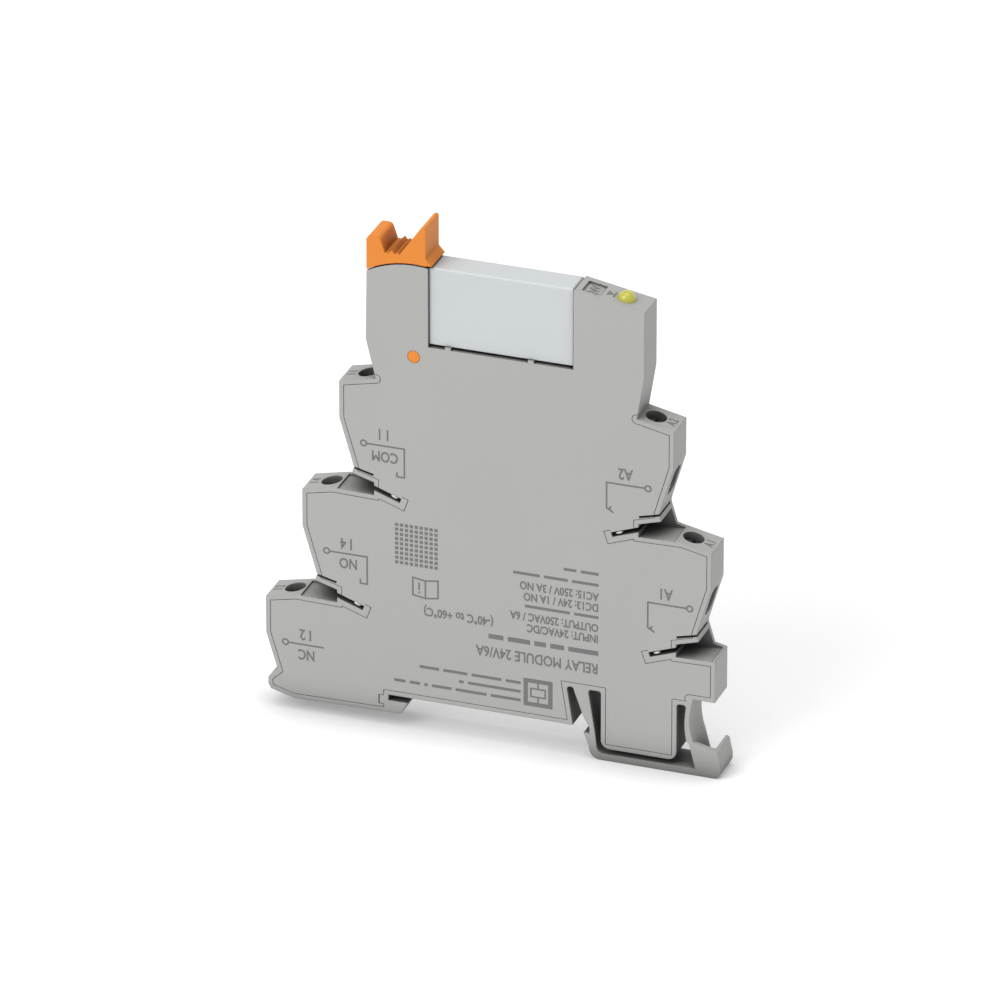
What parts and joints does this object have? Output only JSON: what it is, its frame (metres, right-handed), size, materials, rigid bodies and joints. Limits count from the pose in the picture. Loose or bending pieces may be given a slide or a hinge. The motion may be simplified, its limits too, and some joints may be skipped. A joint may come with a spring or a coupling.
{
  "type": "relay module",
  "caption": "Slim rail-mounted relay module: plug-in relay in a top window, ejecting lever, indicator light and screw-cage terminals in stepped tiers on both sides.",
  "frame": {"origin": "middle of the seat that rests on the rail's lips, at mid thickness", "axes": "+Z away from the rail, +X towards the coil terminals, printed face towards -Y"},
  "size_m": [0.0795, 0.0062, 0.0916],
  "materials": {
    "housing": "moulded, fine grain",
    "lever": "moulded, semi gloss",
    "light_guide": "clear tinted",
    "board": "solder resist",
    "chip_light": "cast",
    "chip_black": "moulded",
    "chip_tan": "fired",
    "inner_plastic": "moulded",
    "relay_case": "moulded, satin",
    "winding": "enamelled copper",
    "soft_iron": "plated",
    "contact_metal": "tinned copper alloy",
    "plated_steel": "zinc plated"
  },
  "bodies": {
    "module": {"housing": "housing", "side_cover": "housing", "light_guide": "light_guide", "circuit_board": "board", "indicator_light": "chip_light", "rectifier": "chip_black", "capacitor": "chip_tan", "flyback_diode": "chip_black", "series_resistor": "chip_black", "shunt_resistor": "chip_black", "relay_socket": "inner_plastic", "socket_contact_no": "contact_metal", "socket_contact_com": "contact_metal", "socket_contact_nc": "contact_metal", "socket_contact_coil_1": "contact_metal", "socket_contact_coil_2": "contact_metal", "current_bar_11": "contact_metal", "current_bar_14": "contact_metal", "current_bar_12": "contact_metal", "current_bar_a2": "contact_metal", "current_bar_a1": "contact_metal"},
    "lever": {"lever": "lever"},
    "relay": {"relay_case": "relay_case", "relay_base": "inner_plastic", "coil_pin_1": "contact_metal", "coil_pin_2": "contact_metal", "common_pin": "contact_metal", "coil_bobbin": "inner_plastic", "coil_winding": "winding", "coil_core": "soft_iron", "relay_yoke": "soft_iron", "open_contact": "contact_metal", "closed_contact": "contact_metal"},
    "armature": {"armature": "soft_iron", "pusher_card": "inner_plastic"},
    "common_spring": {"common_spring": "contact_metal"},
    "screw_11": {"clamp_screw_11": "plated_steel"},
    "cage_11": {"clamp_cage_11": "plated_steel"},
    "screw_14": {"clamp_screw_14": "plated_steel"},
    "cage_14": {"clamp_cage_14": "plated_steel"},
    "screw_12": {"clamp_screw_12": "plated_steel"},
    "cage_12": {"clamp_cage_12": "plated_steel"},
    "screw_a2": {"clamp_screw_a2": "plated_steel"},
    "cage_a2": {"clamp_cage_a2": "plated_steel"},
    "screw_a1": {"clamp_screw_a1": "plated_steel"},
    "cage_a1": {"clamp_cage_a1": "plated_steel"}
  },
  "joints": [
    {"name": "lever_swing", "type": "hinge", "parent": "module", "child": "lever", "pos_m": [-0.0129, 0, 0.0626], "axis": [0, -1, 0], "range_deg": [0, 28]},
    {"name": "relay_lift", "type": "slide", "parent": "module", "child": "relay", "axis": [0, 0, 1], "range_m": [0, 0.0028]},
    {"name": "armature_swing", "type": "hinge", "parent": "relay", "child": "armature", "pos_m": [0.0022, 0, 0.0736], "axis": [0, -1, 0], "range_deg": [0, 3], "stiffness_Nm_per_rad": 0.003},
    {"name": "common_spring_bend", "type": "hinge", "parent": "relay", "child": "common_spring", "pos_m": [-0.0032, 0, 0.0663], "axis": [0, -1, 0], "range_deg": [0, 1.1]},
    {"name": "cage_rise_11", "type": "slide", "parent": "module", "child": "cage_11", "axis": [-0.2096, 0, 0.9778], "range_m": [0, 0.002]},
    {"name": "screw_turn_11", "type": "hinge", "parent": "module", "child": "screw_11", "pos_m": [-0.0218, 0, 0.05708], "axis": [0.2096, 0, -0.9778], "range_deg": [0, 1445]},
    {"name": "cage_rise_14", "type": "slide", "parent": "module", "child": "cage_14", "axis": [-0.2096, 0, 0.9778], "range_m": [0, 0.002]},
    {"name": "screw_turn_14", "type": "hinge", "parent": "module", "child": "screw_14", "pos_m": [-0.0284, 0, 0.03628], "axis": [0.2096, 0, -0.9778], "range_deg": [0, 1445]},
    {"name": "cage_rise_12", "type": "slide", "parent": "module", "child": "cage_12", "axis": [-0.2096, 0, 0.9778], "range_m": [0, 0.002]},
    {"name": "screw_turn_12", "type": "hinge", "parent": "module", "child": "screw_12", "pos_m": [-0.035, 0, 0.01548], "axis": [0.2096, 0, -0.9778], "range_deg": [0, 1445]},
    {"name": "cage_rise_a2", "type": "slide", "parent": "module", "child": "cage_a2", "axis": [0.2096, 0, 0.9778], "range_m": [0, 0.002]},
    {"name": "screw_turn_a2", "type": "hinge", "parent": "module", "child": "screw_a2", "pos_m": [0.0278, 0, 0.05708], "axis": [-0.2096, 0, -0.9778], "range_deg": [0, 1445]},
    {"name": "cage_rise_a1", "type": "slide", "parent": "module", "child": "cage_a1", "axis": [0.2096, 0, 0.9778], "range_m": [0, 0.002]},
    {"name": "screw_turn_a1", "type": "hinge", "parent": "module", "child": "screw_a1", "pos_m": [0.0344, 0, 0.03628], "axis": [-0.2096, 0, -0.9778], "range_deg": [0, 1445]}
  ],
  "couplings": [
    {"joint": "relay_lift", "follows": "lever_swing", "m_per_rad": 0.0055},
    {"joint": "common_spring_bend", "follows": "armature_swing", "ratio": 0.35},
    {"joint": "screw_turn_11", "follows": "cage_rise_11", "rad_per_m": 12566},
    {"joint": "screw_turn_14", "follows": "cage_rise_14", "rad_per_m": 12566},
    {"joint": "screw_turn_12", "follows": "cage_rise_12", "rad_per_m": 12566},
    {"joint": "screw_turn_a2", "follows": "cage_rise_a2", "rad_per_m": 12566},
    {"joint": "screw_turn_a1", "follows": "cage_rise_a1", "rad_per_m": 12566}
  ]
}
